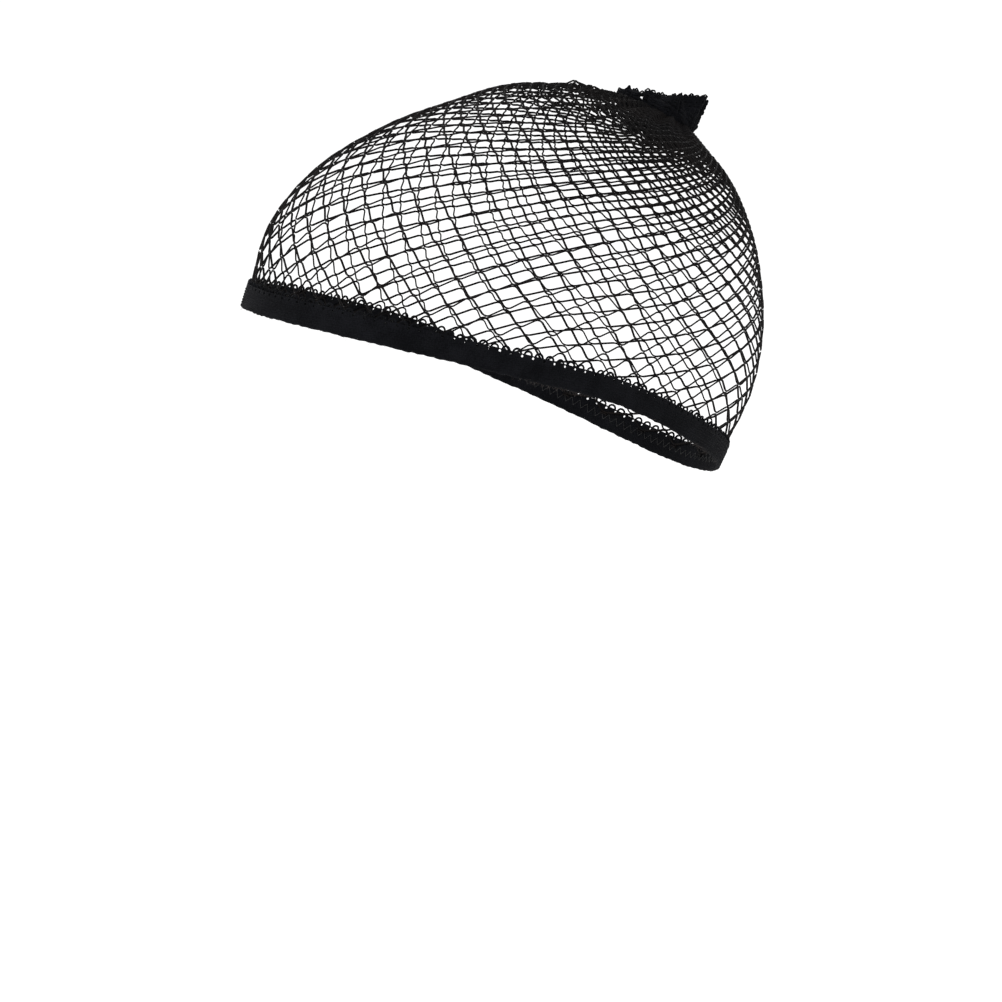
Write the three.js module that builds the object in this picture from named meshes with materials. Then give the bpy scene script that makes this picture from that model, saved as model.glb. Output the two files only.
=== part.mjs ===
// Wig cap: a black fishnet crown on a knitted elastic head band, its top end bunched into a frill.
// Millimetres. +Z is up, the brow faces -Y, the wearer's left side faces +X.
// The origin is the middle of the head opening, where the cap sits on a head.
import * as THREE from 'three';

// Head opening, measured along the upper edge of the band.
const openingLength = 192;
const openingWidth = 151;
const openingSlope = 22; // degrees that it falls from brow to nape
const earLift = 8; // how far the band rides up over each ear
const browEase = 6.5; // taken off that lift towards the brow, and added towards the nape

// Gathered neck at the back of the crown.
const neckBack = 70;
const neckRise = 87.5;
const neckLength = 28;
const neckWidth = 26;
const neckLean = 30; // degrees that its axis leans back
const neckCollar = 3;

// Net crown.
const netWall = 1.2;
const netHem = 3.5; // how far it runs down behind the band
const meshColumns = 24;
const meshRows = 5;
const strandWidth = 5;
const topStrandWidth = 3;
const jointLength = 4; // where two strands run side by side around the head
const pleatDepth = 1.1;

// Knitted head band with its picot edge.
const bandHeight = 8.8;
const bandWall = 1.4;
const picotPitch = 4;
const picotHeight = 1.6;

// Frill, and the gap that sewn pieces keep.
const frillHeight = 14;
const frillWall = 1.1;
const frillColumns = 90;
const sewnGap = 0.3;
const frillSeat = netWall; // how high above the neck's edge it starts

// Sections of the crown from the band up to the neck, at even steps.
// back, up: where the section's middle lies, as shares of neckBack and neckRise.
// long, wide: 1 is the head opening's length or width, and 0 is the neck's.
// lean: 0 is the opening's slope, and 1 is the neck's lean.
const crownSections = [
  { back: 0.02, up: -0.006, long: 0.983, wide: 1, lean: 0 },
  { back: 0.16, up: 0.24, long: 1.01, wide: 0.99, lean: 0.02 },
  { back: 0.33, up: 0.475, long: 0.92, wide: 0.93, lean: 0.12 },
  { back: 0.515, up: 0.68, long: 0.74, wide: 0.79, lean: 0.22 },
  { back: 0.665, up: 0.82, long: 0.555, wide: 0.62, lean: 0.34 },
  { back: 0.77, up: 0.93, long: 0.385, wide: 0.43, lean: 0.48 },
  { back: 0.865, up: 0.985, long: 0.2, wide: 0.205, lean: 0.66 },
  { back: 1, up: 1, long: 0, wide: 0, lean: 1 },
];

// How far up the crown the open mesh reaches from the band. Pleats close it from there to the neck.
const meshTo = 0.82;
const meshStep = meshTo / (meshRows + 1);
const pleatSteps = 7;

// Ridges of the frill, from the brow round by the wearer's left. Between two ridges lies a valley.
// turn: share of a full turn. out: rim radius as a share of the neck's. rise: share of frillHeight.
const frillRidges = [
  { turn: 0.0, out: 1, rise: 0.34 },
  { turn: 0.11, out: 1.02, rise: 0.44 },
  { turn: 0.22, out: 1, rise: 0.68 },
  { turn: 0.33, out: 1.02, rise: 1.02 },
  { turn: 0.435, out: 1, rise: 1.03 },
  { turn: 0.55, out: 1, rise: 1.08 },
  { turn: 0.66, out: 1.02, rise: 0.88 },
  { turn: 0.775, out: 1, rise: 0.58 },
  { turn: 0.89, out: 1.02, rise: 0.32 },
];
const frillValley = { out: 0.68, rise: 0.9 }; // rise here is a share of the ridges beside it

const radians = THREE.MathUtils.degToRad;
const mix = THREE.MathUtils.lerp;

const black = 0x121317;
const knit = new THREE.MeshStandardMaterial({ color: black, roughness: 0.92, metalness: 0 });
const yarn = new THREE.MeshStandardMaterial({ color: 0x17151a, roughness: 0.7, metalness: 0 });

// The section table as two smooth curves: x is lean in the first, and the sizes fill the second.
const middleCurve = new THREE.CatmullRomCurve3(
  crownSections.map((s) => new THREE.Vector3(s.lean, s.back * neckBack, s.up * neckRise)),
  false,
  'catmullrom',
);
const sizeCurve = new THREE.CatmullRomCurve3(
  crownSections.map((s) => new THREE.Vector3(s.long, s.wide, 0)),
  false,
  'catmullrom',
);

// A point of the crown's inner face. climb runs from 0 at the band to 1 at the neck.
// turn is a share of a full turn, from the brow round by the wearer's left.
function crownPoint(turn, climb) {
  const middle = middleCurve.getPoint(climb);
  const size = sizeCurve.getPoint(climb);
  const halfLength = mix(neckLength, openingLength, size.x) / 2;
  const halfWidth = mix(neckWidth, openingWidth, size.y) / 2;
  const lean = radians(mix(openingSlope, neckLean, middle.x));
  const side = Math.sin(turn * 2 * Math.PI);
  const front = Math.cos(turn * 2 * Math.PI);
  const lift = (earLift - browEase * front) * side ** 2 * (1 - climb) ** 2;
  return new THREE.Vector3(
    halfWidth * side,
    middle.y - halfLength * front * Math.cos(lean),
    middle.z + halfLength * front * Math.sin(lean) + lift,
  );
}

// The crown's directions at a point: up along it, and straight out of it.
function crownDirections(turn, climb) {
  const step = 0.004;
  const above = crownPoint(turn, Math.min(1, climb + step));
  const below = crownPoint(turn, Math.max(0, climb - step));
  const up = above.sub(below).normalize();
  const along = crownPoint(turn + step, climb).sub(crownPoint(turn - step, climb));
  const out = along.cross(up).normalize();
  return { up, out };
}

// A sheet is a list of points with outward directions, and the triangles between them.
class Sheet {
  constructor() {
    this.points = [];
    this.outs = [];
    this.faces = [];
  }

  add(point, out) {
    this.points.push(point);
    this.outs.push(out);
    return this.points.length - 1;
  }

  // A polygon, its corners anticlockwise as seen from outside.
  fill(corners) {
    for (let i = 1; i < corners.length - 1; i += 1) {
      this.faces.push([corners[0], corners[i], corners[i + 1]]);
    }
  }

  // The band of faces between two closed rings of the same count.
  bridge(lower, upper) {
    lower.forEach((corner, i) => {
      const next = (i + 1) % lower.length;
      this.fill([corner, lower[next], upper[next], upper[i]]);
    });
  }

  // Outward directions taken from the faces that meet at each point.
  settleOuts() {
    this.outs = this.points.map(() => new THREE.Vector3());
    for (const [a, b, c] of this.faces) {
      const edge = this.points[b].clone().sub(this.points[a]);
      const other = this.points[c].clone().sub(this.points[a]);
      const normal = edge.cross(other);
      [a, b, c].forEach((corner) => this.outs[corner].add(normal));
    }
    this.outs.forEach((out) => out.normalize());
  }

  // A closed wall between two offsets from the sheet, with side faces along its open edges.
  thicken(inner, outer) {
    const count = this.points.length;
    const places = [];
    for (const offset of [outer, inner]) {
      this.points.forEach((point, i) => {
        places.push(...point.clone().addScaledVector(this.outs[i], offset).toArray());
      });
    }
    const triangles = [];
    const edges = new Map();
    for (const [a, b, c] of this.faces) {
      triangles.push(a, b, c, count + a, count + c, count + b);
      for (const [from, to] of [[a, b], [b, c], [c, a]]) {
        edges.set(`${from} ${to}`, [from, to]);
      }
    }
    for (const [from, to] of edges.values()) {
      if (!edges.has(`${to} ${from}`)) {
        triangles.push(to, from, count + from, to, count + from, count + to);
      }
    }
    const geometry = new THREE.BufferGeometry();
    geometry.setAttribute('position', new THREE.Float32BufferAttribute(places, 3));
    geometry.setIndex(triangles);
    geometry.computeVertexNormals();
    return geometry;
  }
}

// Neck: its middle, its leaning axis, and the way out from that axis.
const neckAxis = new THREE.Vector3(0, Math.sin(radians(neckLean)), Math.cos(radians(neckLean)));
const neckMiddle = new THREE.Vector3(0, neckBack, neckRise);

function neckOut(turn) {
  return crownPoint(turn, 1).sub(neckMiddle).normalize();
}

// The head band follows the crown's lower edge downwards, outside the net's hem.
function buildHeadBand() {
  let loopLength = 0;
  for (let i = 0; i < 120; i += 1) {
    loopLength += crownPoint(i / 120, 0).distanceTo(crownPoint((i + 1) / 120, 0));
  }
  const columns = 2 * Math.round(loopLength / picotPitch);
  const sheet = new Sheet();
  const upperRing = [];
  const lowerRing = [];
  for (let i = 0; i < columns; i += 1) {
    const turn = i / columns;
    const { up, out } = crownDirections(turn, 0);
    const edge = crownPoint(turn, 0);
    const picot = i % 2 === 0 ? picotHeight : 0;
    upperRing.push(sheet.add(edge.clone().addScaledVector(up, picot), out));
    lowerRing.push(sheet.add(edge.clone().addScaledVector(up, -bandHeight), out));
  }
  sheet.bridge(lowerRing, upperRing);
  const inner = netWall + sewnGap;
  return sheet.thicken(inner, inner + bandWall);
}

// Six corners of a mesh opening, as turn and climb: one at each side, and two at each blunt end,
// where two strands run side by side. Rows 0 and meshRows + 1 are closed half cells on a ring.
function cellCorners(halfColumn, row) {
  const turn = halfColumn / 2 / meshColumns;
  const climb = meshStep * row;
  const here = crownPoint(turn, climb);
  const halfPitch = here.distanceTo(crownPoint(turn + 0.5 / meshColumns, climb));
  const halfTall = here.distanceTo(crownPoint(turn, climb + meshStep));
  const slant = Math.hypot(halfPitch, halfTall);
  const halfStrand = mix(strandWidth, topStrandWidth, (row - 1) / (meshRows - 1)) / 2;
  const closed = row === 0 || row === meshRows + 1;
  const halfWide = halfPitch - (halfStrand * slant) / halfTall;
  const halfHigh = halfTall - (halfStrand * slant) / halfPitch;
  const halfJoint = Math.min(jointLength / 2, halfWide / 3);
  const bluntHigh = halfHigh * (1 - halfJoint / halfWide);
  const sideways = closed ? halfPitch / 2 : halfWide;
  const at = (right, high) => [
    turn + ((right / halfPitch) * 0.5) / meshColumns,
    climb + (high / halfTall) * meshStep,
  ];
  const corners = { left: at(-sideways, 0), right: at(sideways, 0) };
  if (row > 0) {
    corners.lowLeft = at(-halfJoint, -bluntHigh);
    corners.lowRight = at(halfJoint, -bluntHigh);
  }
  if (row <= meshRows) {
    corners.upLeft = at(-halfJoint, bluntHigh);
    corners.upRight = at(halfJoint, bluntHigh);
  }
  return corners;
}

// The open mesh. Odd rows have their cells on even half columns, so that the rows interlock.
function addMesh(sheet, addAt) {
  const lastRow = meshRows + 1;
  const around = 2 * meshColumns;
  const cells = [];
  for (let row = 0; row <= lastRow; row += 1) {
    cells.push([]);
    for (let half = (row + 1) % 2; half < around; half += 2) {
      const corners = Object.entries(cellCorners(half, row));
      cells[row][half] = Object.fromEntries(corners.map(([place, at]) => [place, addAt(...at)]));
    }
  }
  const cell = (half, row) => cells[row][(half + around) % around];
  for (let row = 0; row <= lastRow; row += 1) {
    for (let half = (row + 1) % 2; half < around; half += 2) {
      const here = cell(half, row);
      if (row === 0) {
        sheet.fill([here.left, here.right, here.upRight, here.upLeft]);
      }
      if (row === 1) {
        const [before, after] = [cell(half - 1, 0), cell(half + 1, 0)];
        sheet.fill([before.right, after.left, here.lowRight, here.lowLeft]);
      }
      if (row === lastRow) {
        sheet.fill([here.left, here.lowLeft, here.lowRight, here.right]);
        continue;
      }
      const [before, after] = [cell(half - 1, row + 1), cell(half + 1, row + 1)];
      sheet.fill([here.right, after.lowLeft, after.left, here.upRight]);
      sheet.fill([here.left, here.upLeft, before.right, before.lowRight]);
      const over = row + 2 <= lastRow ? cell(half, row + 2) : null;
      const joint = [before.right, here.upLeft, here.upRight, after.left];
      sheet.fill(over ? [...joint, over.lowRight, over.lowLeft] : joint);
    }
  }
  const ringOf = (row) => Object.keys(cells[row]).flatMap((half) => {
    const { left, right } = cells[row][half];
    return [
      { corner: left, turn: (half - 0.5) / around },
      { corner: right, turn: (Number(half) + 0.5) / around },
    ];
  });
  return { lowRing: ringOf(0), highRing: ringOf(lastRow) };
}

// The net crown: its hem behind the band, the open mesh, the pleats towards the neck, and the collar.
function buildNetCrown() {
  const sheet = new Sheet();
  const addAt = (turn, climb) => sheet.add(crownPoint(turn, climb), crownDirections(turn, climb).out);
  const { lowRing, highRing } = addMesh(sheet, addAt);

  const hemRing = lowRing.map(({ turn }) => {
    const { up, out } = crownDirections(turn, 0);
    return sheet.add(crownPoint(turn, 0).addScaledVector(up, -netHem), out);
  });
  sheet.bridge(hemRing, lowRing.map(({ corner }) => corner));

  let ring = highRing.map(({ corner }) => corner);
  for (let step = 1; step <= pleatSteps; step += 1) {
    const share = step / pleatSteps;
    const climb = mix(meshTo, 1, share);
    const depth = pleatDepth * Math.sin(Math.PI * share);
    const next = highRing.map(({ turn }, i) => {
      const { out } = crownDirections(turn, climb);
      const point = crownPoint(turn, climb).addScaledVector(out, i % 2 === 0 ? depth : -depth);
      return sheet.add(point, share === 1 ? out.add(neckOut(turn)).normalize() : out);
    });
    sheet.bridge(ring, next);
    ring = next;
  }
  const collarRing = highRing.map(({ turn }) => sheet.add(
    crownPoint(turn, 1).addScaledVector(neckAxis, neckCollar),
    neckOut(turn),
  ));
  sheet.bridge(ring, collarRing);
  return sheet.thicken(0, netWall);
}

// The frill's rim as a closed curve: x and y are its outline around the neck, and z is its rise.
function frillRim() {
  const rimPoint = (turn, out, rise) => new THREE.Vector3(
    out * Math.cos(turn * 2 * Math.PI),
    out * Math.sin(turn * 2 * Math.PI),
    rise,
  );
  const points = frillRidges.flatMap((ridge, i) => {
    const next = frillRidges[(i + 1) % frillRidges.length];
    const nextTurn = next.turn > ridge.turn ? next.turn : next.turn + 1;
    const valleyTurn = (ridge.turn + nextTurn) / 2;
    const valleyRise = (frillValley.rise * (ridge.rise + next.rise)) / 2;
    return [
      rimPoint(ridge.turn, ridge.out, ridge.rise),
      rimPoint(valleyTurn, frillValley.out, valleyRise),
    ];
  });
  return new THREE.CatmullRomCurve3(points, true, 'catmullrom');
}

// The frill stands around the neck's collar, and folds in and out above it.
function buildFrill() {
  const sheet = new Sheet();
  const rim = frillRim();
  const rows = 5;
  const rings = [];
  for (let row = 0; row <= rows; row += 1) {
    rings.push([]);
    for (let i = 0; i < frillColumns; i += 1) {
      const { x, y, z } = rim.getPoint(i / frillColumns);
      const turn = Math.atan2(y, x) / 2 / Math.PI;
      const fold = Math.max(0, row - 1) / (rows - 1);
      const height = row === 0 ? frillSeat : mix(neckCollar + sewnGap, z * frillHeight, fold);
      const seatRadius = crownPoint(turn, 1).distanceTo(neckMiddle) + netWall + sewnGap;
      const radius = seatRadius * mix(1, Math.hypot(x, y), fold);
      const point = neckMiddle.clone()
        .addScaledVector(neckOut(turn), radius)
        .addScaledVector(neckAxis, height);
      rings[row].push(sheet.add(point, null));
    }
  }
  for (let row = 0; row < rows; row += 1) {
    sheet.bridge(rings[row], rings[row + 1]);
  }
  sheet.settleOuts();
  return sheet.thicken(0, frillWall);
}

const cap = new THREE.Group();
const pieces = [
  ['head_band', buildHeadBand(), knit],
  ['net_crown', buildNetCrown(), yarn],
  ['crown_frill', buildFrill(), knit],
];
for (const [name, geometry, material] of pieces) {
  const mesh = new THREE.Mesh(geometry, material);
  mesh.name = name;
  cap.add(mesh);
}

export default cap;
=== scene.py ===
# Wig cap: a fishnet crown on a knitted elastic head band, its top end bunched into a frill.
# Sizes are in millimetres, and points become metres where a mesh is made.
from math import cos, pi, radians, sin

import bmesh
import bpy
import numpy as np
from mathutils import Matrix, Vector


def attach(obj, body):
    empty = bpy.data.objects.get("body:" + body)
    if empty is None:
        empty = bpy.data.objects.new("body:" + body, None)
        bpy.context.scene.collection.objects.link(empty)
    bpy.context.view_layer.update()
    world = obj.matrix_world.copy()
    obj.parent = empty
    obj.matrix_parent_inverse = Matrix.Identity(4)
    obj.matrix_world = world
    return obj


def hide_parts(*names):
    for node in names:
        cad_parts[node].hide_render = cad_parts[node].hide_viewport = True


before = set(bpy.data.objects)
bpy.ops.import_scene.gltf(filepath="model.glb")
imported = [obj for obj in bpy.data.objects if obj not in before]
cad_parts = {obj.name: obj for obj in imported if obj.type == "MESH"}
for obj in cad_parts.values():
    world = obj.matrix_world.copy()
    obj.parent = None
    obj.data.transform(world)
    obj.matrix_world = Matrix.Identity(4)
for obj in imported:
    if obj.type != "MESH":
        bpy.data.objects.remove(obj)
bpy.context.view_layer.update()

# Fishnet crown.
# Nylon net, stretched from the band up to the gathered neck over ovals that lie as in the CAD. Each
# thread zigzags around the head and runs beside the next wherever they meet, held there by a small tie.
# The lowest threads run out behind the band, which is sewn over them.
opening_length = 192
opening_width = 151
opening_slope = 22
ear_lift = 8
brow_ease = 6.5
neck_back = 70
neck_rise = 87.5
neck_length = 28
neck_width = 26
neck_lean = 30
crown_wall = 1.2

# back, up: the section's middle. long, wide: from the neck's size at 0 to the opening's at 1.
# lean: from the opening's slope at 0 to the neck's lean at 1.
crown_sections = [
    dict(back=0.02, up=-0.006, long=0.983, wide=1.0, lean=0.0),
    dict(back=0.16, up=0.24, long=1.01, wide=0.99, lean=0.02),
    dict(back=0.33, up=0.475, long=0.92, wide=0.93, lean=0.12),
    dict(back=0.515, up=0.68, long=0.74, wide=0.79, lean=0.22),
    dict(back=0.665, up=0.82, long=0.555, wide=0.62, lean=0.34),
    dict(back=0.77, up=0.93, long=0.385, wide=0.43, lean=0.48),
    dict(back=0.865, up=0.985, long=0.2, wide=0.205, lean=0.66),
    dict(back=1.0, up=1.0, long=0.0, wide=0.0, lean=1.0),
]
section_keys = ("back", "up", "long", "wide", "lean")
section_table = np.array([[section[key] for key in section_keys] for section in crown_sections])


def section_at(climb):
    """The section table's values at any height, smooth from row to row."""
    last = len(section_table) - 1
    before = 2 * section_table[0] - section_table[1]
    after = 2 * section_table[last] - section_table[last - 1]
    rows = np.vstack([before, section_table, after])
    place = np.clip(climb, 0, 1) * last
    row = np.minimum(place.astype(int), last - 1)
    t = (place - row)[..., None]
    p0, p1, p2, p3 = rows[row], rows[row + 1], rows[row + 2], rows[row + 3]
    bend = (2 * p0 - 5 * p1 + 4 * p2 - p3) * t ** 2 + (3 * (p1 - p2) + p3 - p0) * t ** 3
    return np.moveaxis(p1 + 0.5 * ((p2 - p0) * t + bend), -1, 0)


def crown_point(turn, climb):
    """Inner face of the crown: turn is a share of a full turn from the brow, climb from band to neck."""
    turn, climb = np.broadcast_arrays(np.asarray(turn, float), np.asarray(climb, float))
    back, up, long, wide, lean = section_at(climb)
    half_length = (neck_length + (opening_length - neck_length) * long) / 2
    half_width = (neck_width + (opening_width - neck_width) * wide) / 2
    tilt = np.radians(opening_slope + (neck_lean - opening_slope) * lean)
    side, front = np.sin(turn * 2 * pi), np.cos(turn * 2 * pi)
    lift = (ear_lift - brow_ease * front) * side ** 2 * (1 - np.clip(climb, 0, 1)) ** 2
    return np.stack([
        half_width * side,
        back * neck_back - half_length * front * np.cos(tilt),
        up * neck_rise + half_length * front * np.sin(tilt) + lift,
    ], -1)


def unit(vectors):
    return vectors / np.linalg.norm(vectors, axis=-1, keepdims=True)


def crown_directions(turn, climb):
    """The crown's own directions at a point: along it, up it, and out of it."""
    step = 0.004
    climb = np.clip(climb, 0, 1)
    above = crown_point(turn, np.minimum(climb + step, 1))
    below = crown_point(turn, np.maximum(climb - step, 0))
    up = unit(above - below)
    along = unit(crown_point(turn + step, climb) - crown_point(turn - step, climb))
    out = unit(np.cross(along, up))
    return along, up, out


net_columns = 44
net_rows_to_neck = 34.4
net_first_row = -6.5
crowd_reach = 1.235
nape_rows = 2.7
net_threads = dict(first=-11, past=44, plain_after=31)
climb_length = 150
thread_thick = 0.68
thread_sides = 5
joint_run = 1.75
joint_spread = 0.68
corner_round = 0.5

# Weights multiply the yarn's thickness: on the rising and falling legs, by the neck, and on the slack back.
rising_weight = 0.95
falling_weight = 1.22
neck_weight = 1.15
slack_weight = 0.25
hem_depth = 3.2
pleats = dict(first=17, second=29, depth=1.3)
fold = dict(turn=-0.01, climb=0.885, width=0.022, length=0.028, height=2.2)
snag = dict(start=(5.0, 10.0), end=(6.0, 11.0))

# The snag's line from the middle of its leg: along the leg, across it, and out of the net.
snag_line = [
    (-2.1, 0.0, 0.1),
    (-1.3, 0.2, 0.5),
    (-0.5, 0.7, 0.7),
    (0.3, 0.5, 0.9),
    (0.2, -0.5, 0.8),
    (-0.5, -0.3, 0.4),
    (-0.3, 0.6, -0.2),
    (0.5, 0.8, 0.5),
    (1.1, 1.1, 0.9),
    (1.6, 1.6, 1.1),
    (2.1, 1.8, 1.0),
]
net_colour = (0.0022, 0.0019, 0.0022)


def smooth_step(low, high, value):
    share = np.clip((value - low) / (high - low), 0, 1)
    return share * share * (3 - 2 * share)


def crowded(turn_angle, climb):
    """Draws the last rows together where the net lifts off the head and closes up to the neck."""
    off_brow = np.abs((turn_angle + pi) % (2 * pi) - pi)
    start = 0.9 - 0.3 * smooth_step(radians(15), radians(80), off_brow)
    span = 1 - start
    rows_left = (crowd_reach - start) / span
    past = np.maximum(climb - start, 0) / span
    return np.minimum(climb, start) + span * past / (1 + past * (1 - 1 / rows_left))


def net_place(column, row):
    """Where the net's own grid lies on the crown. It is drawn out at the brow and crowded at the back."""
    across = 2 * net_columns
    climb = (row - net_first_row) / (net_rows_to_neck - net_first_row)
    for _ in range(2):
        place = column + 9.83 - 4.35 * climb
        rounds = np.floor(place / across)
        near = np.interp(place - rounds * across, [0, 44, 80, across], [0, 181.8, 326.9, 360])
        angle = np.radians(near + 360 * rounds)
        turn_angle = (angle + (0.276 * climb - 0.14) * np.sin(angle)
                      + (0.122 - 0.025 * climb) * np.sin(2 * angle)
                      + (0.074 * climb - 0.055) * np.sin(3 * angle))
        off_brow = np.abs((turn_angle + pi) % (2 * pi) - pi)
        start = net_first_row - nape_rows * smooth_step(radians(92), radians(132), off_brow)
        climb = (row - start) / (net_rows_to_neck - start)
        pull = (0.079 + 0.047 * np.cos(angle) + 0.116 * np.cos(2 * angle) - 0.053 * np.cos(3 * angle)
                + (climb - 0.5) * (0.031 * np.cos(angle) - 0.409))
        climb = climb + np.clip(climb, 0, 1) * (1 - np.clip(climb, 0, 1)) * pull
    return turn_angle / (2 * pi), crowded(turn_angle, climb)


def net_point(turn, climb, lift=0.0):
    """A point of the net on the middle of the crown's wall, carried on below the band's edge."""
    held = np.clip(climb, 0, 1)
    along, up, out = crown_directions(turn, held)
    drop = np.minimum(climb, 0) * climb_length
    angle = turn * 2 * pi
    waves = 0.6 * np.sin(pleats["first"] * angle + 0.6) + 0.4 * np.sin(pleats["second"] * angle + 2.1)
    depth = pleats["depth"] * smooth_step(0.66, 0.93, held) * (1 - smooth_step(0.96, 1, held))
    across = (turn - fold["turn"] + 0.5) % 1 - 0.5
    far = (across / fold["width"]) ** 2 + ((held - fold["climb"]) / fold["length"]) ** 2
    lump = fold["height"] * np.exp(-far)
    tuck = 0.25 * (1 - smooth_step(0, 0.02, held))
    shift = crown_wall / 2 + depth * waves + lump - tuck
    return crown_point(turn, held) + up * (drop + lift)[..., None] + out * shift[..., None]


def new_object(name, points, edges=(), faces=()):
    mesh = bpy.data.meshes.new(name)
    mesh.from_pydata([tuple(p) for p in np.asarray(points) / 1000], edges, faces)
    if len(faces):
        work = bmesh.new()
        work.from_mesh(mesh)
        bmesh.ops.recalc_face_normals(work, faces=work.faces)
        work.to_mesh(mesh)
        work.free()
    piece = bpy.data.objects.new(name, mesh)
    bpy.context.scene.collection.objects.link(piece)
    return piece


def new_lines(name, lines):
    """Loose lines as one mesh. Each line is its points, how thick it is at each, and whether it closes."""
    points, weights, edges = [], [], []
    for line, weight, closed in lines:
        start, count = len(points), len(line)
        points.extend(line)
        weights.extend(weight)
        edges.extend((start + i, start + i + 1) for i in range(count - 1))
        if closed:
            edges.append((start + count - 1, start))
    piece = new_object(name, points, edges)
    layer = piece.data.attributes.new("weight", "FLOAT", "POINT")
    layer.data.foreach_set("value", weights)
    return piece


def visible_runs(line, weight, seen):
    """Cuts a closed line into the stretches that show."""
    if seen.all():
        return [(line, weight, True)]
    first = int(np.argmin(seen))
    line, weight, seen = (np.roll(values, -first, 0) for values in (line, weight, seen))
    runs, run = [], []
    for i in range(len(seen)):
        if seen[i]:
            run.append(i)
        elif run:
            runs.append((line[run], weight[run], False))
            run = []
    if run:
        runs.append((line[run], weight[run], False))
    return [run for run in runs if len(run[0]) > 2]


def net_lines():
    """Each thread's zigzag, with a short flat run and two rounded corners at every joint."""
    lines, ties = [], []
    columns = np.arange(2 * net_columns)
    chance = np.random.default_rng(7)
    for thread in range(net_threads["first"], net_threads["past"]):
        high = (columns + thread) % 2 == 0
        row = thread + high
        column = columns + chance.normal(0, 0.02, len(columns))
        row = row + chance.normal(0, 0.02, len(columns))
        turn, climb = net_place(column, row)
        middle = net_point(turn, climb)
        pitch = 2 * np.linalg.norm(net_point(*net_place(column + 0.5, row)) - middle, axis=-1)
        run = np.minimum(joint_run / 2 / pitch, 0.3)
        spread = np.minimum(joint_spread / 2, 0.2 * pitch) * np.where(high, -1, 1)
        first = net_point(*net_place(column - run, row), spread)
        last = net_point(*net_place(column + run, row), spread)
        before, after = np.roll(last, 1, 0), np.roll(first, -1, 0)
        leg = np.linalg.norm(after - last, axis=-1)
        ease = np.minimum(corner_round / np.maximum(leg, 0.01), 0.25)[:, None]
        back_ease = np.roll(ease, 1, 0)
        corners = np.stack([
            first + (before - first) * back_ease,
            first + (last - first) * 0.22,
            last + (first - last) * 0.22,
            last + (after - last) * ease,
        ], 1)
        coming = np.where(high, rising_weight, falling_weight)
        going = np.where(high, falling_weight, rising_weight)
        off_brow = np.abs((turn * 2 * pi + pi) % (2 * pi) - pi)
        slack = smooth_step(radians(95), radians(150), off_brow) * smooth_step(0.35, 0.65, climb)
        crowd = 1 + (neck_weight - 1) * smooth_step(0.74, 0.96, climb) + slack_weight * slack
        weight = np.stack([coming, np.ones_like(coming), np.ones_like(coming), going], 1) * crowd[:, None]
        seen = np.repeat(climb * climb_length > -hem_depth, 4)
        if thread > net_threads["plain_after"]:
            corners, weight, seen = corners[:, ::3], weight[:, ::3], seen[::2]
        lines += visible_runs(corners.reshape(-1, 3), weight.reshape(-1), seen)
        for i in np.flatnonzero(high & (climb > 0.01) & (climb < 0.8)):
            out = crown_directions(turn[i:i + 1], climb[i:i + 1])[2][0]
            low = last[i] * 0.35 + first[i] * 0.65
            top = last[i] * 0.65 + first[i] * 0.35
            shift = (middle[i] - (first[i] + last[i]) / 2) + out * 0.22
            ties.append((np.array([low + shift, top + shift]), [1.0, 1.0], False))
    return lines, ties


def snagged_end():
    """A small pulled knot on one leg of the net, with its short loose end."""
    column, row = (np.array(pair) for pair in zip(snag["start"], snag["end"]))
    place = net_place(column, row)
    ends = net_point(*place)
    centre = ends.mean(0)
    along = unit(ends[1] - ends[0])
    out = crown_directions(*place)[2][0]
    up = unit(np.cross(out, along))
    line = np.array([centre + along * x + up * y + out * z for x, y, z in snag_line])
    return line, [0.9] * len(snag_line), False


def new_tree(name, inputs):
    """A Geometry Nodes tree with named inputs beside its geometry."""
    tree = bpy.data.node_groups.new(name, "GeometryNodeTree")
    tree.interface.new_socket("Geometry", in_out="INPUT", socket_type="NodeSocketGeometry")
    tree.interface.new_socket("Geometry", in_out="OUTPUT", socket_type="NodeSocketGeometry")
    for label, kind in inputs.items():
        tree.interface.new_socket(label, in_out="INPUT", socket_type="NodeSocket" + kind)
    return tree, tree.nodes.new("NodeGroupInput"), tree.nodes.new("NodeGroupOutput")


def run_tree(piece, tree, values):
    """Puts a tree on a piece with its inputs set, and keeps the result as the piece's plain mesh."""
    modifier = piece.modifiers.new(tree.name, "NODES")
    modifier.node_group = tree
    for item in tree.interface.items_tree:
        if item.in_out == "INPUT" and item.name in values:
            modifier[item.identifier] = values[item.name]
    settle(piece)


def settle(piece):
    """Turns what a piece's modifiers make into its plain mesh, and takes the modifiers off."""
    depsgraph = bpy.context.evaluated_depsgraph_get()
    made = piece.evaluated_get(depsgraph)
    mesh = bpy.data.meshes.new_from_object(made, preserve_all_data_layers=True, depsgraph=depsgraph)
    piece.modifiers.clear()
    piece.data = mesh
    mesh.name = piece.name


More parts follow.
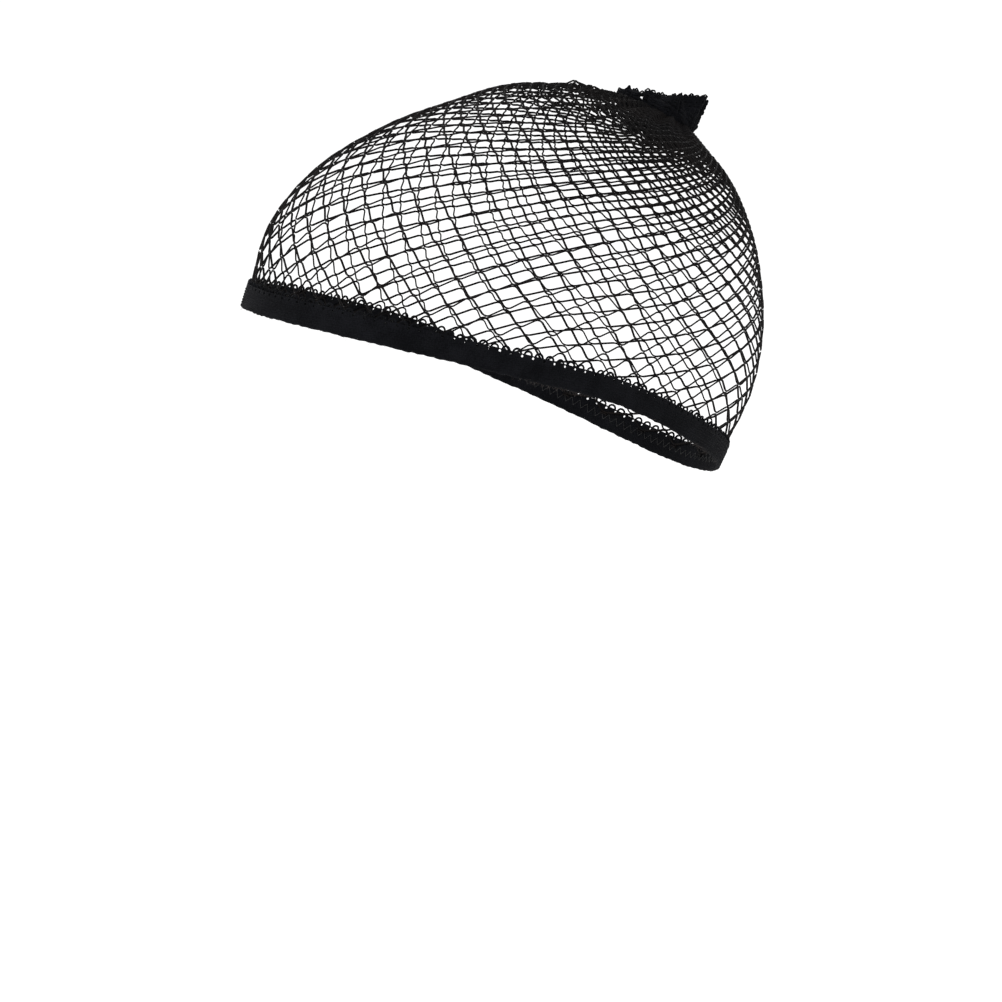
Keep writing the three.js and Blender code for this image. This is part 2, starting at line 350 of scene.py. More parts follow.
def yarn_tree():
    """Gives lines a round thread, and keeps each thread's running length for its twist."""
    tree, given, result = new_tree("yarn", {"Thick": "Float", "Sides": "Int", "Finish": "Material"})
    nodes, link = tree.nodes, tree.links.new
    lines = nodes.new("GeometryNodeMeshToCurve")
    length = nodes.new("GeometryNodeSplineParameter")
    keep = nodes.new("GeometryNodeStoreNamedAttribute")
    keep.data_type = "FLOAT"
    keep.domain = "POINT"
    keep.inputs["Name"].default_value = "run"
    weight = nodes.new("GeometryNodeInputNamedAttribute")
    weight.data_type = "FLOAT"
    weight.inputs["Name"].default_value = "weight"
    ring = nodes.new("GeometryNodeCurvePrimitiveCircle")
    half = nodes.new("ShaderNodeMath")
    half.operation = "MULTIPLY"
    half.inputs[1].default_value = 0.5
    tube = nodes.new("GeometryNodeCurveToMesh")
    tube.inputs["Fill Caps"].default_value = True
    smooth = nodes.new("GeometryNodeSetShadeSmooth")
    realize = nodes.new("GeometryNodeRealizeInstances")
    dress = nodes.new("GeometryNodeSetMaterial")
    link(given.outputs["Geometry"], lines.inputs["Mesh"])
    link(lines.outputs["Curve"], keep.inputs["Geometry"])
    link(length.outputs["Length"], keep.inputs["Value"])
    link(keep.outputs["Geometry"], tube.inputs["Curve"])
    link(weight.outputs["Attribute"], tube.inputs["Scale"])
    link(given.outputs["Thick"], half.inputs[0])
    link(half.outputs[0], ring.inputs["Radius"])
    link(given.outputs["Sides"], ring.inputs["Resolution"])
    link(ring.outputs["Curve"], tube.inputs["Profile Curve"])
    link(tube.outputs["Mesh"], smooth.inputs["Geometry"])
    link(smooth.outputs["Geometry"], realize.inputs["Geometry"])
    link(realize.outputs["Geometry"], dress.inputs["Geometry"])
    link(given.outputs["Finish"], dress.inputs["Material"])
    link(dress.outputs["Geometry"], result.inputs["Geometry"])
    return tree


def new_material(name, colour, roughness):
    """A Principled material with its fixed values set on the shader's own sockets."""
    material = bpy.data.materials.new(name)
    material.use_nodes = True
    shader = material.node_tree.nodes["Principled BSDF"]
    shader.inputs["Base Color"].default_value = (*colour, 1)
    shader.inputs["Roughness"].default_value = roughness
    return material, shader


def net_yarn_material():
    """Fine black nylon: a slight gloss, tiny stitches along each thread, a warmer tint in places."""
    material, shader = new_material("net_yarn", net_colour, 0.7)
    shader.inputs["Specular IOR Level"].default_value = 0.06
    nodes, link = material.node_tree.nodes, material.node_tree.links.new
    run = nodes.new("ShaderNodeAttribute")
    run.attribute_name = "run"
    stitch = nodes.new("ShaderNodeMath")
    stitch.operation = "MULTIPLY"
    stitch.inputs[1].default_value = 2 * pi / 0.0008
    wave = nodes.new("ShaderNodeMath")
    wave.operation = "SINE"
    bump = nodes.new("ShaderNodeBump")
    bump.inputs["Strength"].default_value = 0.5
    bump.inputs["Distance"].default_value = 0.00012
    place = nodes.new("ShaderNodeTexCoord")
    patch = nodes.new("ShaderNodeTexNoise")
    patch.inputs["Scale"].default_value = 60
    tint = nodes.new("ShaderNodeValToRGB")
    tint.color_ramp.elements[0].position = 0.35
    tint.color_ramp.elements[0].color = (*net_colour, 1)
    tint.color_ramp.elements[1].position = 0.75
    tint.color_ramp.elements[1].color = (0.0055, 0.0041, 0.0039, 1)
    link(run.outputs["Fac"], stitch.inputs[0])
    link(stitch.outputs[0], wave.inputs[0])
    link(wave.outputs[0], bump.inputs["Height"])
    link(bump.outputs["Normal"], shader.inputs["Normal"])
    link(place.outputs["Object"], patch.inputs["Vector"])
    link(patch.outputs["Fac"], tint.inputs["Fac"])
    link(tint.outputs["Color"], shader.inputs["Base Color"])
    return material


yarn = yarn_tree()
net_yarn = net_yarn_material()
threads, ties = net_lines()
fishnet = new_lines("fishnet", threads + [snagged_end()])
run_tree(fishnet, yarn, {"Thick": thread_thick / 1000, "Sides": thread_sides, "Finish": net_yarn})
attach(fishnet, "root")
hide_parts("net_crown")

tie_yarn = new_material("tie_yarn", (0.011, 0.0095, 0.01), 0.6)[0]
joint_ties = new_lines("joint_ties", ties)
run_tree(joint_ties, yarn, {"Thick": 0.00036, "Sides": 4, "Finish": tie_yarn})
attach(joint_ties, "root")
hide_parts("net_crown")

# Head band.
# A soft knitted elastic, 8.4 mm tall as worn, sewn over the net's lower edge. Fine ribs run along it,
# and its edges are rounded and a little uneven.
band_height = 8.4
band_ear_lift = 2.9
band_inner = 0.95
band_outer = 2.1
solid_from = 1.3
band_columns = 480
band_ribs = 6
rib_depth = 0.15
knit_colour = (0.0018, 0.0019, 0.0026)


def band_point(turn, drop, away):
    """A point of the band: drop is how far below its top, away how far out of the crown's inner face."""
    along, up, out = crown_directions(turn, np.zeros_like(turn))
    off_brow = np.abs((turn + 0.5) % 1 - 0.5) * 360
    lift = band_ear_lift * smooth_step(-5, 62, off_brow) * (1 - smooth_step(88, 125, off_brow))
    return crown_point(turn, np.zeros_like(turn)) + up * (lift - drop)[..., None] + out * away[..., None]


def band_profile():
    """The band's cross-section as drop and away, round by the outside and back by the inside."""
    middle = (band_inner + band_outer) / 2
    half = (band_outer - band_inner) / 2
    steps = 4 * band_ribs
    face = np.linspace(solid_from + half, band_height - half, steps + 1)
    ribs = rib_depth * np.cos(2 * pi * band_ribs * np.linspace(0, 1, steps + 1))
    outer = [(drop, band_outer + rib) for drop, rib in zip(face, ribs)]
    low = [(band_height - half + half * sin(a), middle + half * cos(a)) for a in np.linspace(0, pi, 7)[1:-1]]
    inner = [(drop, band_inner) for drop in np.linspace(band_height - half, solid_from + half, 6)]
    top = [(solid_from + half - half * sin(a), middle - half * cos(a)) for a in np.linspace(0, pi, 7)[1:-1]]
    return np.array(outer + low + inner + top)


def band_mesh(name):
    profile = band_profile()
    turns = np.arange(band_columns) / band_columns
    chance = np.random.default_rng(3)
    waves = sum(chance.normal(0, 0.028) * np.sin(2 * pi * n * turns + chance.uniform(0, 6))
                for n in range(24, 160, 7))
    count = len(profile)
    turn = np.repeat(turns, count)
    drop = np.tile(profile[:, 0], band_columns)
    low = smooth_step(band_height - 2, band_height, drop)
    drop = drop + np.repeat(waves, count) * low
    away = np.tile(profile[:, 1], band_columns)
    points = band_point(turn, drop, away)
    faces = []
    for i in range(band_columns):
        for k in range(count):
            a, b = i * count + k, i * count + (k + 1) % count
            c, d = ((i + 1) % band_columns) * count + (k + 1) % count, ((i + 1) % band_columns) * count + k
            faces.append((a, b, c, d))
    return new_object(name, points, (), faces)


def knit_relief():
    """Shader group for fine knitted elastic: stitch and nap bumps, and a value of painted shade between the
    stitches, with slight mottling, for the colour.
    """
    group = bpy.data.node_groups.new("knit_relief", "ShaderNodeTree")
    for label, kind in (("Stitch", "NodeSocketFloat"), ("Depth", "NodeSocketFloat")):
        group.interface.new_socket(label, in_out="INPUT", socket_type=kind)
    group.interface.new_socket("Shade", in_out="OUTPUT", socket_type="NodeSocketFloat")
    group.interface.new_socket("Normal", in_out="OUTPUT", socket_type="NodeSocketVector")
    nodes, link = group.nodes, group.links.new
    given, result = nodes.new("NodeGroupInput"), nodes.new("NodeGroupOutput")
    place = nodes.new("ShaderNodeTexCoord")
    cells = nodes.new("ShaderNodeTexVoronoi")
    cells.inputs["Randomness"].default_value = 0.55
    nap = nodes.new("ShaderNodeTexNoise")
    nap.inputs["Scale"].default_value = 900
    nap.inputs["Detail"].default_value = 4
    mottle = nodes.new("ShaderNodeTexNoise")
    mottle.inputs["Scale"].default_value = 120
    mottle.inputs["Detail"].default_value = 3
    both = nodes.new("ShaderNodeMath")
    both.operation = "MULTIPLY_ADD"
    both.inputs[1].default_value = 0.6
    bump = nodes.new("ShaderNodeBump")
    bump.inputs["Distance"].default_value = 0.0004
    # Painted shade: darker towards the edge of each stitch cell, plus slight mottling.
    shade = nodes.new("ShaderNodeMath")
    shade.operation = "MULTIPLY_ADD"
    shade.inputs[1].default_value = -0.55
    link(place.outputs["Object"], cells.inputs["Vector"])
    link(given.outputs["Stitch"], cells.inputs["Scale"])
    link(place.outputs["Object"], nap.inputs["Vector"])
    link(place.outputs["Object"], mottle.inputs["Vector"])
    link(nap.outputs["Fac"], both.inputs[0])
    link(cells.outputs["Distance"], both.inputs[2])
    link(both.outputs[0], bump.inputs["Height"])
    link(given.outputs["Depth"], bump.inputs["Strength"])
    link(cells.outputs["Distance"], shade.inputs[0])
    link(mottle.outputs["Fac"], shade.inputs[2])
    link(shade.outputs[0], result.inputs["Shade"])
    link(bump.outputs["Normal"], result.inputs["Normal"])
    return group


knit_group = knit_relief()


def knit_material(name, light, dark, stitch, depth):
    """Matte black knitted elastic, with a faint sheen from its nap."""
    material, shader = new_material(name, dark, 0.9)
    shader.inputs["Sheen Weight"].default_value = 0.006
    shader.inputs["Sheen Roughness"].default_value = 0.6
    shader.inputs["Specular IOR Level"].default_value = 0.04
    nodes, link = material.node_tree.nodes, material.node_tree.links.new
    relief = nodes.new("ShaderNodeGroup")
    relief.node_tree = knit_group
    relief.inputs["Stitch"].default_value = stitch
    relief.inputs["Depth"].default_value = depth
    # Painted shade: the colour runs from dark between the stitches to light on them, with slight mottling.
    tint = nodes.new("ShaderNodeValToRGB")
    tint.color_ramp.elements[0].position = 0.05
    tint.color_ramp.elements[0].color = (*dark, 1)
    tint.color_ramp.elements[1].position = 0.5
    tint.color_ramp.elements[1].color = (*light, 1)
    link(relief.outputs["Shade"], tint.inputs["Fac"])
    link(tint.outputs["Color"], shader.inputs["Base Color"])
    link(relief.outputs["Normal"], shader.inputs["Normal"])
    return material


band_knit = knit_material("band_knit", (0.005, 0.0052, 0.0066), knit_colour, 1500, 0.8)
band = band_mesh("elastic_band")
band.data.materials.append(band_knit)
band.data.shade_smooth()
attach(band, "root")
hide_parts("head_band")

# Picot edge.
# The band's upper edge is knitted into a row of small arched loops, with a tiny eyelet
# below the gap between each two. No two loops stand quite alike.
picot_pitch = 4
picot_reach = 1.8
picot_half_width = 1.35
picot_yarn = 0.82
eyelet_radius = 0.47


def picot_loop(name):
    """One arched loop of yarn: x runs along the band, y out of it, and z up."""
    arch = picot_reach - picot_yarn / 2
    path = [(picot_half_width * cos(a), 0, arch * sin(a)) for a in np.linspace(-0.35, pi + 0.35, 9)]
    loop = new_lines(name, [(path, [1.0] * len(path), False)])
    run_tree(loop, yarn, {"Thick": picot_yarn / 1000, "Sides": 5, "Finish": band_knit})
    return loop


def eyelet_plate(name):
    """A short stretch of the band's top edge with one eyelet through it."""
    half, top, low, thick = picot_pitch / 2 + 0.02, 0.25, -solid_from - 0.45, 0.5
    frame_corners = [(half, -0.7), (half, top), (0, top), (-half, top)]
    frame_corners += [(-half, -0.7), (-half, low), (0, low), (half, low)]
    hole = [(eyelet_radius * cos(a) * 1.15, eyelet_radius * sin(a) - 0.62) for a in np.arange(8) * pi / 4]
    points = [(x, side * thick, z) for side in (1, -1) for x, z in frame_corners + hole]
    faces = []
    for i in range(8):
        j = (i + 1) % 8
        faces.append((8 + i, i, j, 8 + j))
        faces.append((24 + j, 16 + j, 16 + i, 24 + i))
        faces.append((8 + j, 24 + j, 24 + i, 8 + i))
        faces.append((i, 16 + i, 16 + j, j))
    plate = new_object(name, points, (), faces)
    plate.data.materials.append(band_knit)
    return plate


def picot_tree(loop, plate):
    """Sets loops and eyelet plates by turns along the band's edge, each a little different."""
    tree, given, result = new_tree("picots", {"Sway": "Float", "Uneven": "Float", "Finish": "Material"})
    nodes, link = tree.nodes, tree.links.new
    index = nodes.new("GeometryNodeInputIndex")
    odd = nodes.new("ShaderNodeMath")
    odd.operation = "MODULO"
    odd.inputs[1].default_value = 2
    even = nodes.new("ShaderNodeMath")
    even.operation = "SUBTRACT"
    even.inputs[0].default_value = 1
    link(index.outputs[0], odd.inputs[0])
    link(odd.outputs[0], even.inputs[1])
    along = nodes.new("GeometryNodeInputNamedAttribute")
    along.data_type = "FLOAT_VECTOR"
    along.inputs["Name"].default_value = "along"
    up = nodes.new("GeometryNodeInputNamedAttribute")
    up.data_type = "FLOAT_VECTOR"
    up.inputs["Name"].default_value = "up"
    facing = nodes.new("FunctionNodeAxesToRotation")
    facing.primary_axis = "X"
    facing.secondary_axis = "Z"
    link(along.outputs["Attribute"], facing.inputs["Primary Axis"])
    link(up.outputs["Attribute"], facing.inputs["Secondary Axis"])
    sway = nodes.new("FunctionNodeRandomValue")
    sway.data_type = "FLOAT_VECTOR"
    sway.inputs["Seed"].default_value = 5
    minus = nodes.new("ShaderNodeMath")
    minus.operation = "MULTIPLY"
    minus.inputs[1].default_value = -1
    link(given.outputs["Sway"], minus.inputs[0])
    link(minus.outputs[0], sway.inputs[0])
    link(given.outputs["Sway"], sway.inputs[1])
    turned = nodes.new("FunctionNodeRotateRotation")
    turned.rotation_space = "LOCAL"
    link(facing.outputs["Rotation"], turned.inputs["Rotation"])
    link(sway.outputs[0], turned.inputs["Rotate By"])
    size = nodes.new("FunctionNodeRandomValue")
    size.data_type = "FLOAT"
    size.inputs["Seed"].default_value = 8
    low = nodes.new("ShaderNodeMath")
    low.operation = "SUBTRACT"
    low.inputs[0].default_value = 1
    high = nodes.new("ShaderNodeMath")
    high.operation = "ADD"
    high.inputs[0].default_value = 1
    link(given.outputs["Uneven"], low.inputs[1])
    link(given.outputs["Uneven"], high.inputs[1])
    floats = [s for s in size.inputs if s.type == "VALUE" and s.name in ("Min", "Max")]
    link(low.outputs[0], floats[0])
    link(high.outputs[0], floats[1])
    join = nodes.new("GeometryNodeJoinGeometry")
    for piece, chosen, rotation in ((loop, even, turned), (plate, odd, facing)):
        shape = nodes.new("GeometryNodeObjectInfo")
        shape.inputs["Object"].default_value = piece
        place = nodes.new("GeometryNodeInstanceOnPoints")
        link(given.outputs["Geometry"], place.inputs["Points"])
        link(shape.outputs["Geometry"], place.inputs["Instance"])
        link(chosen.outputs[0], place.inputs["Selection"])
        link(rotation.outputs[0], place.inputs["Rotation"])
        if piece is loop:
            link([s for s in size.outputs if s.type == "VALUE"][0], place.inputs["Scale"])
        link(place.outputs["Instances"], join.inputs["Geometry"])
    realize = nodes.new("GeometryNodeRealizeInstances")
    dress = nodes.new("GeometryNodeSetMaterial")
    link(join.outputs["Geometry"], realize.inputs["Geometry"])
    link(realize.outputs["Geometry"], dress.inputs["Geometry"])
    link(given.outputs["Finish"], dress.inputs["Material"])
    link(dress.outputs["Geometry"], result.inputs["Geometry"])
    return tree


def band_directions(turn):
    """The band's own directions: along its edge, up its face, and out of it."""
    step = 0.002
    zero = np.zeros_like(turn)
    along = unit(band_point(turn + step, zero, zero) - band_point(turn - step, zero, zero))
    out = crown_directions(turn, zero)[2]
    return along, unit(np.cross(out, along)), out


def even_turns(count, drop, away):
    """Turns that lie at even steps of length along the band."""
    fine = np.linspace(0, 1, 2001)
    line = band_point(fine, np.full_like(fine, drop), np.full_like(fine, away))
    length = np.concatenate([[0], np.cumsum(np.linalg.norm(np.diff(line, axis=0), axis=1))])
    return np.interp(np.arange(count) / count * length[-1], length, fine), length[-1]


def add_vectors(piece, name, vectors):
    layer = piece.data.attributes.new(name, "FLOAT_VECTOR", "POINT")
    layer.data.foreach_set("vector", np.asarray(vectors, np.float32).ravel())


def picot_edge(name):
    middle = (band_inner + band_outer) / 2
    loop_length = even_turns(4, 0, middle)[1]
    count = 2 * round(loop_length / picot_pitch)
    turns = even_turns(count, 0, middle)[0]
    zero = np.zeros_like(turns)
    edge = new_object(name, band_point(turns, zero, zero + middle))
    along, up, out = band_directions(turns)
    add_vectors(edge, "along", along)
    add_vectors(edge, "up", up)
    loop, plate = picot_loop("one_picot"), eyelet_plate("one_eyelet")
    run_tree(edge, picot_tree(loop, plate), {"Sway": radians(7), "Uneven": 0.1, "Finish": band_knit})
    for used in (loop, plate):
        bpy.data.objects.remove(used)
    return edge


picots = picot_edge("picot_edge")
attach(picots, "root")
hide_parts("head_band")

# Hem stitch.
# A fine zigzag of sewing thread on the band's inner face, which holds the net's edge to it.
stitch_step = 1.6
stitch_thick = 0.3


def hem_stitch(name, finish):
    away = band_inner - stitch_thick / 2 + 0.03
    length = even_turns(4, 4, away)[1]
    count = 2 * round(length / stitch_step / 2)
    turns = even_turns(count, 4, away)[0]
    drop = np.where(np.arange(count) % 2 == 0, 2.6, 5.2)
    drop = drop + np.random.default_rng(14).normal(0, 0.12, count)
    stitches = new_lines(name, [(band_point(turns, drop, np.full(count, away)), [1.0] * count, True)])
    run_tree(stitches, yarn, {"Thick": stitch_thick / 1000, "Sides": 5, "Finish": finish})
    return stitches


sewing_thread = new_material("sewing_thread", (0.004, 0.0037, 0.004), 0.6)[0]
stitches = hem_stitch("hem_stitch", sewing_thread)
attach(stitches, "root")
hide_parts("head_band")

# Loose fibres.
# Short brownish ends that stand off the band's lower edge, set more closely at two places by the ear.
fibre_length = 1.7
fibre_thick = 0.07
fibre_places = [
    dict(count=260, middle=0.5, spread=0.5),
    dict(count=110, middle=0.222, spread=0.02),
    dict(count=110, middle=0.345, spread=0.025),
]


def fibre_tree(fibre):
    """Sets fibres on points, each turned and sized by chance."""
    tree, given, result = new_tree("fibres", {"Sway": "Float", "Shortest": "Float", "Finish": "Material"})
    nodes, link = tree.nodes, tree.links.new
    along = nodes.new("GeometryNodeInputNamedAttribute")
    along.data_type = "FLOAT_VECTOR"
    along.inputs["Name"].default_value = "along"
    up = nodes.new("GeometryNodeInputNamedAttribute")
    up.data_type = "FLOAT_VECTOR"
    up.inputs["Name"].default_value = "up"
    facing = nodes.new("FunctionNodeAxesToRotation")
    facing.primary_axis = "X"
    facing.secondary_axis = "Z"
    minus = nodes.new("ShaderNodeMath")
    minus.operation = "MULTIPLY"
    minus.inputs[1].default_value = -1
    sway = nodes.new("FunctionNodeRandomValue")
    sway.data_type = "FLOAT_VECTOR"
    sway.inputs["Seed"].default_value = 31
    turned = nodes.new("FunctionNodeRotateRotation")
    turned.rotation_space = "LOCAL"
    size = nodes.new("FunctionNodeRandomValue")
    size.data_type = "FLOAT"
    size.inputs["Seed"].default_value = 32
    shape = nodes.new("GeometryNodeObjectInfo")
    shape.inputs["Object"].default_value = fibre
    place = nodes.new("GeometryNodeInstanceOnPoints")
    realize = nodes.new("GeometryNodeRealizeInstances")
    dress = nodes.new("GeometryNodeSetMaterial")
    link(along.outputs["Attribute"], facing.inputs["Primary Axis"])
    link(up.outputs["Attribute"], facing.inputs["Secondary Axis"])
    link(given.outputs["Sway"], minus.inputs[0])
    link(minus.outputs[0], sway.inputs[0])
    link(given.outputs["Sway"], sway.inputs[1])
    link(facing.outputs["Rotation"], turned.inputs["Rotation"])
    link(sway.outputs[0], turned.inputs["Rotate By"])
    link(given.outputs["Shortest"], [s for s in size.inputs if s.type == "VALUE" and s.name == "Min"][0])
    link(given.outputs["Geometry"], place.inputs["Points"])
    link(shape.outputs["Geometry"], place.inputs["Instance"])
    link(turned.outputs[0], place.inputs["Rotation"])
    link([s for s in size.outputs if s.type == "VALUE"][0], place.inputs["Scale"])
    link(place.outputs["Instances"], realize.inputs["Geometry"])
    link(realize.outputs["Geometry"], dress.inputs["Geometry"])
    link(given.outputs["Finish"], dress.inputs["Material"])
    link(dress.outputs["Geometry"], result.inputs["Geometry"])
    return tree


def loose_fibres(name, finish):
    chance = np.random.default_rng(19)
    turns = np.concatenate([place["middle"] + place["spread"] * chance.uniform(-1, 1, place["count"])
                            for place in fibre_places])
    away = chance.uniform(band_inner + 0.2, band_outer - 0.1, len(turns))
    drop = band_height - chance.uniform(0.1, 0.5, len(turns))
    points = new_object(name, band_point(turns, drop, away))
    along, up, out = band_directions(turns)
    add_vectors(points, "along", along)
    add_vectors(points, "up", up)
    bow = [(0, 0, 0), (0.12, 0.1, -0.35), (0.35, 0.15, -0.7), (0.5, 0.1, -1)]
    line = np.array(bow) * fibre_length
    fibre = new_lines("one_fibre", [(line, [1.0] * len(line), False)])
    run_tree(fibre, yarn, {"Thick": fibre_thick / 1000, "Sides": 3, "Finish": finish})
    run_tree(points, fibre_tree(fibre), {"Sway": radians(75), "Shortest": 0.35, "Finish": finish})
    bpy.data.objects.remove(fibre)
    return points


fibre_brown = new_material("fibre_brown", (0.022, 0.014, 0.012), 0.7)[0]
fibres = loose_fibres("loose_fibres", fibre_brown)
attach(fibres, "root")
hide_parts("head_band")

# Frill.
# The net's top end has its own narrow elastic, bunched tight so that it stands up in a ruffle:
# low on the brow side and tallest at the back. Its picot edge runs along the rim.
frill_height = 14
frill_wall = 0.9
frill_columns = 720
frill_rows = 26
foot_height = -0.2
collar_height = 3
seat_gap = 1.5
picot_stands = 0.7
rim_picots = 72
frill_eyelets = 60
frill_eyelet_rows = (9, 13, 17, 21)

# turn: share of a full turn. out: rim radius as a share of the neck's. rise: share of frill_height.
frill_ridges = [
    dict(turn=0.0, out=1.0, rise=0.34),
    dict(turn=0.11, out=1.02, rise=0.44),
    dict(turn=0.22, out=1.0, rise=0.68),
    dict(turn=0.33, out=1.02, rise=1.02),
    dict(turn=0.435, out=1.0, rise=1.03),
    dict(turn=0.55, out=1.0, rise=1.08),
    dict(turn=0.66, out=1.02, rise=0.88),
    dict(turn=0.775, out=1.0, rise=0.58),
    dict(turn=0.89, out=1.02, rise=0.32),
]
frill_valley = dict(out=0.68, rise=0.9)

# The two places where the loosely bunched cloth leaves a gap: turn, height over the neck, and half sizes.
frill_gaps = [
    dict(turn=0.086, height=2.2, wide=1.5, high=0.8),
    dict(turn=0.75, height=5.7, wide=2.0, high=1.2),
]


def frill_rim(count):
    """The ruffle's rim as a closed smooth line: outline around the neck in x and y, and rise in z."""
    points = []
    for i, ridge in enumerate(frill_ridges):
        following = frill_ridges[(i + 1) % len(frill_ridges)]
        next_turn = following["turn"] + (following["turn"] < ridge["turn"])
        for turn, out, rise in (
            (ridge["turn"], ridge["out"], ridge["rise"]),
            ((ridge["turn"] + next_turn) / 2, frill_valley["out"],
             frill_valley["rise"] * (ridge["rise"] + following["rise"]) / 2),
        ):
            points.append((out * cos(turn * 2 * pi), out * sin(turn * 2 * pi), rise))
    points = np.array(points)
    place = np.arange(count) / count * len(points)
    at = place.astype(int)
    t = (place - at)[:, None]
    p0, p1, p2, p3 = (points[(at + k) % len(points)] for k in (-1, 0, 1, 2))
    bend = (2 * p0 - 5 * p1 + 4 * p2 - p3) * t ** 2 + (3 * (p1 - p2) + p3 - p0) * t ** 3
    return p1 + 0.5 * ((p2 - p0) * t + bend)


def ripple(place, waves, seed):
    """A closed wavering line of unit size: the sum of a few waves of seeded heights and starts."""
    chance = np.random.default_rng(seed)
    total = sum(chance.uniform(0.5, 1) * np.sin(2 * pi * n * place + chance.uniform(0, 2 * pi))
                for n in waves)
    return total / np.sqrt(len(waves))


def frill_rows_of_points():
    """The frill's wall, row by row from the collar's foot to the rim, with its folds and small creases."""
    rim = frill_rim(frill_columns)
    place = np.arange(frill_columns) / frill_columns
    turn = np.arctan2(rim[:, 1], rim[:, 0]) / (2 * pi)
    axis = np.array([0, sin(radians(neck_lean)), cos(radians(neck_lean))])
    middle = np.array([0, neck_back, neck_rise])
    top = rim[:, 2] * frill_height - picot_stands + 0.45 * ripple(place, (23, 31, 47), 11)
    rows = []
    for row in range(frill_rows + 1):
        share = row / frill_rows
        height = foot_height + (top - foot_height) * share
        fold_share = np.clip((height - collar_height) / (top - collar_height), 0, 1)
        lean = 0.012 * fold_share * ripple(place, (5, 9, 14), 4)
        spoke = crown_point(turn + lean, np.ones_like(turn)) - middle
        radius = np.linalg.norm(spoke, axis=1)
        spoke = spoke / radius[:, None]
        tight = 0.7 * max(0, 1 - 4 * share)
        reach = (radius + seat_gap - tight) * (1 + (np.hypot(rim[:, 0], rim[:, 1]) - 1) * fold_share)
        crease = 0.42 * ripple(place + 0.004 * row / frill_rows, (29, 37, 43, 61), 2) * min(1, 3 * share)
        dent = 0.3 * ripple(place + 0.31 * share, (12, 19, 26), 9) * sin(pi * share)
        rib = 0.1 * cos(2 * pi * 7 * share)
        reach = reach + crease + dent + rib
        rows.append(middle + spoke * reach[:, None] + axis * height[:, None])
    return np.array(rows), turn, axis


def frill_faces(rows, turn, axis):
    """The wall's faces, left out at the loose gaps and at the small eyelets of the knit."""
    middle = np.array([0, neck_back, neck_rise])
    chance = np.random.default_rng(21)
    gone = set()
    step = frill_columns // frill_eyelets
    for row in frill_eyelet_rows:
        for i in range(0, frill_columns, step):
            if chance.uniform() < 0.6:
                gone.add((row, i + int(chance.integers(2, step - 2))))
    faces = []
    for row in range(frill_rows):
        for i in range(frill_columns):
            height = (rows[row, i] - middle) @ axis
            nearest = 9
            for gap in frill_gaps:
                along = ((turn[i] - gap["turn"] + 0.5) % 1 - 0.5) * 2 * pi * (neck_width / 2 + seat_gap)
                rise = (height - gap["height"]) / gap["high"]
                nearest = min(nearest, (along / gap["wide"]) ** 2 + rise ** 2)
            open_here = nearest < 1 or (nearest > 3 and ((row, i) in gone or (row, i - 1) in gone))
            if not open_here:
                a, b = row * frill_columns + i, row * frill_columns + (i + 1) % frill_columns
                faces.append((a, b, b + frill_columns, a + frill_columns))
    return faces


def frill_mesh(name):
    rows, turn, axis = frill_rows_of_points()
    frill = new_object(name, rows.reshape(-1, 3), (), frill_faces(rows, turn, axis))
    wall = frill.modifiers.new("wall", "SOLIDIFY")
    wall.thickness = frill_wall / 1000
    wall.offset = 0
    settle(frill)
    frill.data.shade_smooth()
    return frill


def around(ring, at):
    """Points at any places along a closed ring of points."""
    count = len(ring)
    closed = np.vstack([ring, ring[:1]])
    return np.stack([np.interp(at, np.arange(count + 1), closed[:, k]) for k in range(3)], 1)


def rim_loops(name, finish):
    """The picot edge along the rim: one yarn that stands in small close arches."""
    rows, turn, axis = frill_rows_of_points()
    rim, below = rows[-1], rows[-3]
    steps = 8 * rim_picots
    place = np.arange(steps) / steps
    slip = place + 0.11 / rim_picots * np.sin(2 * pi * rim_picots * place)
    at = slip * frill_columns
    base, foot = around(rim, at), around(below, at)
    rise = 0.85 * np.abs(np.sin(pi * rim_picots * place)) ** 0.7 + 0.12 * ripple(place, (17, 41), 6) - 0.15
    line = base + unit(base - foot) * rise[:, None]
    loops = new_lines(name, [(line, [1.0] * steps, True)])
    run_tree(loops, yarn, {"Thick": 0.0006, "Sides": 6, "Finish": finish})
    return loops


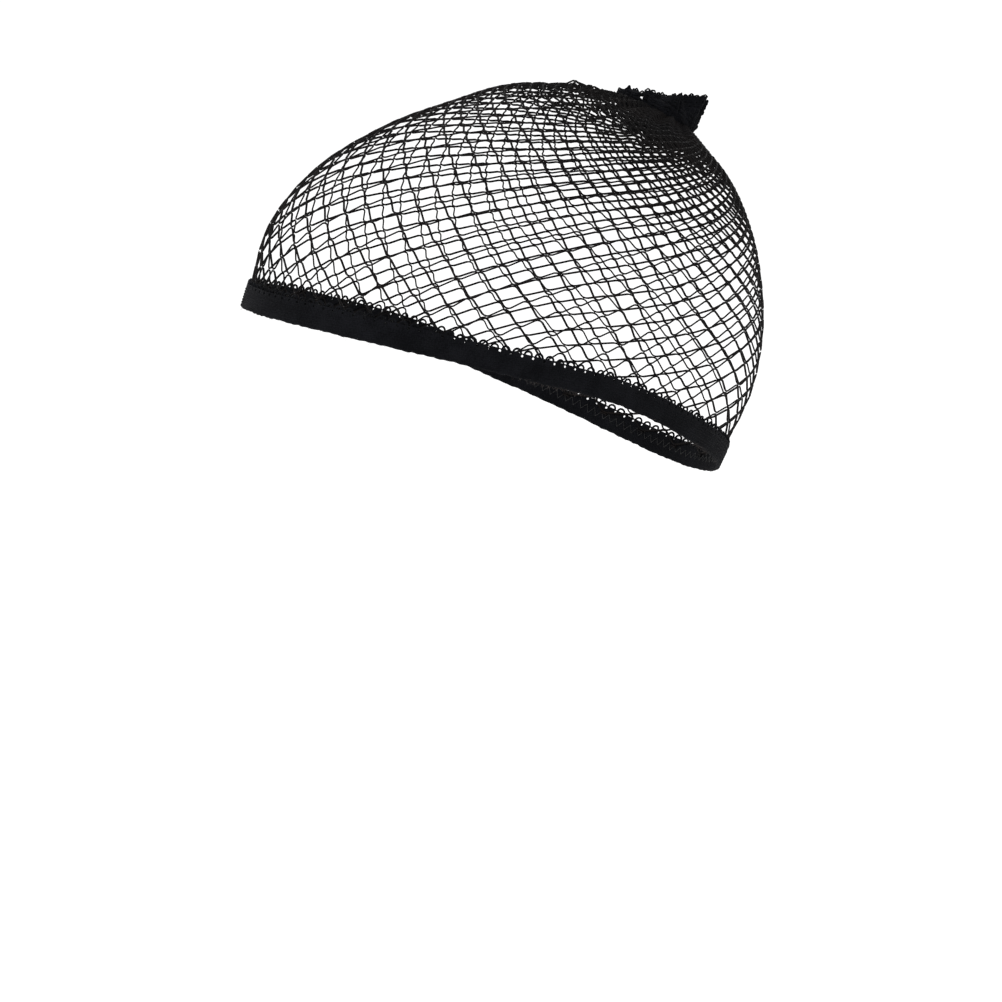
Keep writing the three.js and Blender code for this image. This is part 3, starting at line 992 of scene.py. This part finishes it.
frill_knit = knit_material("frill_knit", (0.0048, 0.005, 0.0064), knit_colour, 1300, 1.0)
frill = frill_mesh("frill")
frill.data.materials.append(frill_knit)
frill_picots = rim_loops("frill_picots", frill_knit)
for piece in (frill, frill_picots):
    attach(piece, "root")
    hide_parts("crown_frill")

# Studio.
# A plain pale floor, soft light from all round, and the camera at the photo's angle to the cap.
floor_height = -235
camera_distance = 1500
camera_turn = 60
camera_pitch = 12
camera_aim = dict(right=5.0, up=-46.9)
pixel_size = 0.36
image_width = 1002


def stage_plane(name, size, place):
    half = size / 2
    corners = [(-half, -half, 0), (half, -half, 0), (half, half, 0), (-half, half, 0)]
    plane = new_object(name, corners, (), [(0, 1, 2, 3)])
    plane.location = Vector(place) / 1000
    plane.data.materials.append(new_material(name, (0.93, 0.93, 0.93), 0.9)[0])


stage_plane("floor", 12000, (0, 0, floor_height))

world = bpy.context.scene.world or bpy.data.worlds.new("studio")
bpy.context.scene.world = world
world.use_nodes = True
world.node_tree.nodes["Background"].inputs["Color"].default_value = (1, 1, 1, 1)
world.node_tree.nodes["Background"].inputs["Strength"].default_value = 1.15


def soft_light(name, place, size, power):
    light = bpy.data.lights.new(name, "AREA")
    light.size = size / 1000
    light.energy = power
    lamp = bpy.data.objects.new(name, light)
    lamp.location = Vector(place) / 1000
    lamp.rotation_euler = (-Vector(place)).to_track_quat("-Z", "Y").to_euler()
    bpy.context.scene.collection.objects.link(lamp)


soft_light("key", (1400, -1200, 1300), 900, 22)
soft_light("fill", (-900, -1600, 700), 1200, 9)

turn, pitch = radians(camera_turn), radians(camera_pitch)
right = Vector((cos(turn), sin(turn), 0))
toward = Vector((sin(turn) * cos(pitch), -cos(turn) * cos(pitch), sin(pitch)))
upward = toward.cross(right)
camera_data = bpy.data.cameras.new("camera")
camera_data.sensor_width = 36
camera_data.lens = 36 * camera_distance / pixel_size / image_width
camera_data.clip_end = 20
camera = bpy.data.objects.new("camera", camera_data)
camera.location = (right * camera_aim["right"] + upward * camera_aim["up"] + toward * camera_distance) / 1000
camera.rotation_euler = toward.to_track_quat("Z", "Y").to_euler()
bpy.context.scene.collection.objects.link(camera)
bpy.context.scene.camera = camera
bpy.context.scene.view_settings.view_transform = "Standard"
